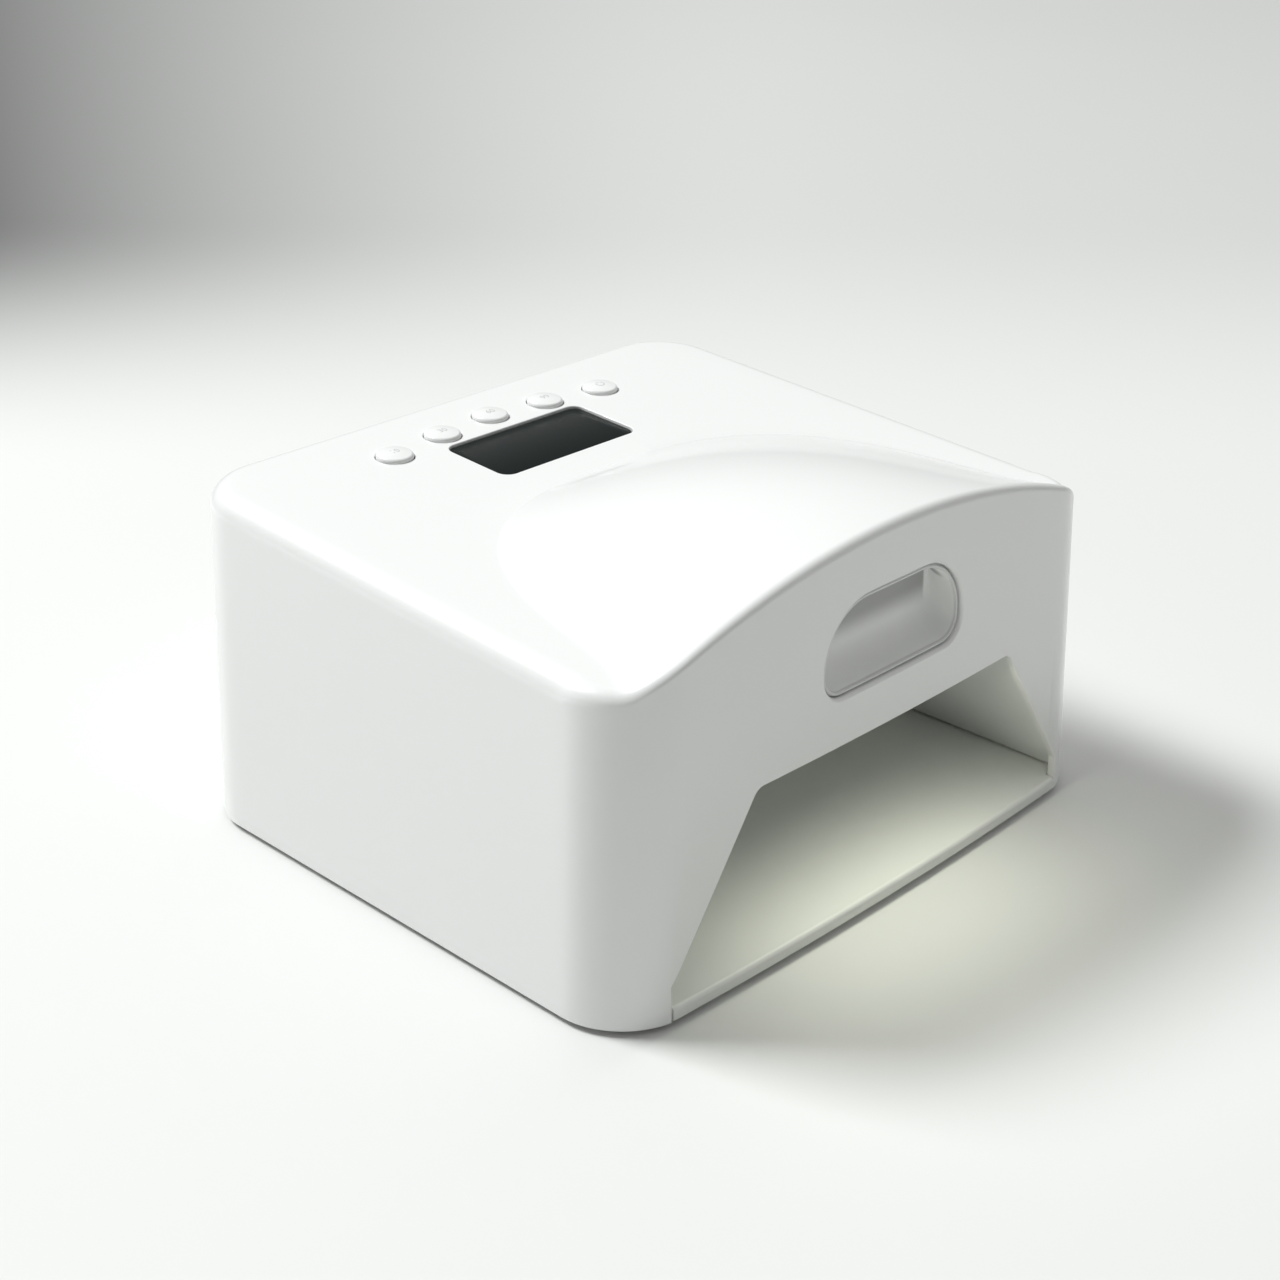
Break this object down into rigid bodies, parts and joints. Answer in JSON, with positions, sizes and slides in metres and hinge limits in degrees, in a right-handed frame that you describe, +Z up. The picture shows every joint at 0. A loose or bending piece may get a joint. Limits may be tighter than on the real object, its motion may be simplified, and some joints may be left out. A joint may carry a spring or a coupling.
{
  "type": "led nail lamp",
  "caption": "White table-top lamp for curing nail gel: a hand tunnel lined with LEDs under an arched housing, with a display, push buttons, a finger pocket and a lift-away tray.",
  "frame": {"origin": "on the table, under the middle of the lamp's bounding box", "axes": "+X to the user's right, +Z up; the hand goes in from -Y, and the charging jack is in the middle of the +Y side"},
  "size_m": [0.23, 0.2064, 0.1308],
  "materials": {
    "gloss_white": "high gloss white moulding",
    "liner_white": "satin white reflector",
    "tray_white": "satin white tray",
    "window_black": "smoked clear plastic over a dark display",
    "lcd_grey": "grey display module",
    "board_green": "green lacquered laminate",
    "board_white": "white lacquered laminate with clear LED domes",
    "dark_plastic": "matt black plastic",
    "wrap_blue": "blue plastic sleeve",
    "steel": "plated steel",
    "nickel": "nickel plate",
    "rubber": "matt black rubber"
  },
  "bodies": {
    "base": {"base_tray": "tray_white", "magnet_1": "nickel", "foot_1": "rubber", "magnet_2": "nickel", "foot_2": "rubber", "magnet_3": "nickel", "foot_3": "rubber", "magnet_4": "nickel", "foot_4": "rubber"},
    "button_1": {"button_1": "gloss_white", "switch_plunger_1": "dark_plastic"},
    "button_2": {"button_2": "gloss_white", "switch_plunger_2": "dark_plastic"},
    "button_3": {"button_3": "gloss_white", "switch_plunger_3": "dark_plastic"},
    "button_4": {"button_4": "gloss_white", "switch_plunger_4": "dark_plastic"},
    "button_5": {"button_5": "gloss_white", "switch_plunger_5": "dark_plastic"},
    "lamp": {"outer_housing": "gloss_white", "chamber_liner": "liner_white", "handle_pocket": "gloss_white", "display_window": "window_black", "lcd_module": "lcd_grey", "control_board": "board_green", "hand_sensor": "dark_plastic", "battery_holder": "dark_plastic", "dc_jack": "dark_plastic", "led_board_ceiling": "board_white", "led_board_left": "board_white", "led_board_right": "board_white", "led_board_rear": "board_white", "tact_switch_1": "dark_plastic", "tact_switch_2": "dark_plastic", "tact_switch_3": "dark_plastic", "tact_switch_4": "dark_plastic", "tact_switch_5": "dark_plastic", "battery_cell_1": "wrap_blue", "liner_screw_1": "steel", "striker_1": "steel", "battery_cell_2": "wrap_blue", "liner_screw_2": "steel", "striker_2": "steel", "battery_cell_3": "wrap_blue", "liner_screw_3": "steel", "striker_3": "steel", "battery_cell_4": "wrap_blue", "liner_screw_4": "steel", "striker_4": "steel"}
  },
  "joints": [
    {"name": "lift_off", "type": "slide", "parent": "base", "child": "lamp", "axis": [0, 0, 1], "range_m": [0, 0.1]},
    {"name": "press_1", "type": "slide", "parent": "lamp", "child": "button_1", "axis": [0, 0.059, -0.9983], "range_m": [0, 0.0008], "stiffness_N_per_m": 2000},
    {"name": "press_2", "type": "slide", "parent": "lamp", "child": "button_2", "axis": [0, 0.059, -0.9983], "range_m": [0, 0.0008], "stiffness_N_per_m": 2000},
    {"name": "press_3", "type": "slide", "parent": "lamp", "child": "button_3", "axis": [0, 0.059, -0.9983], "range_m": [0, 0.0008], "stiffness_N_per_m": 2000},
    {"name": "press_4", "type": "slide", "parent": "lamp", "child": "button_4", "axis": [0, 0.059, -0.9983], "range_m": [0, 0.0008], "stiffness_N_per_m": 2000},
    {"name": "press_5", "type": "slide", "parent": "lamp", "child": "button_5", "axis": [0, 0.059, -0.9983], "range_m": [0, 0.0008], "stiffness_N_per_m": 2000}
  ]
}
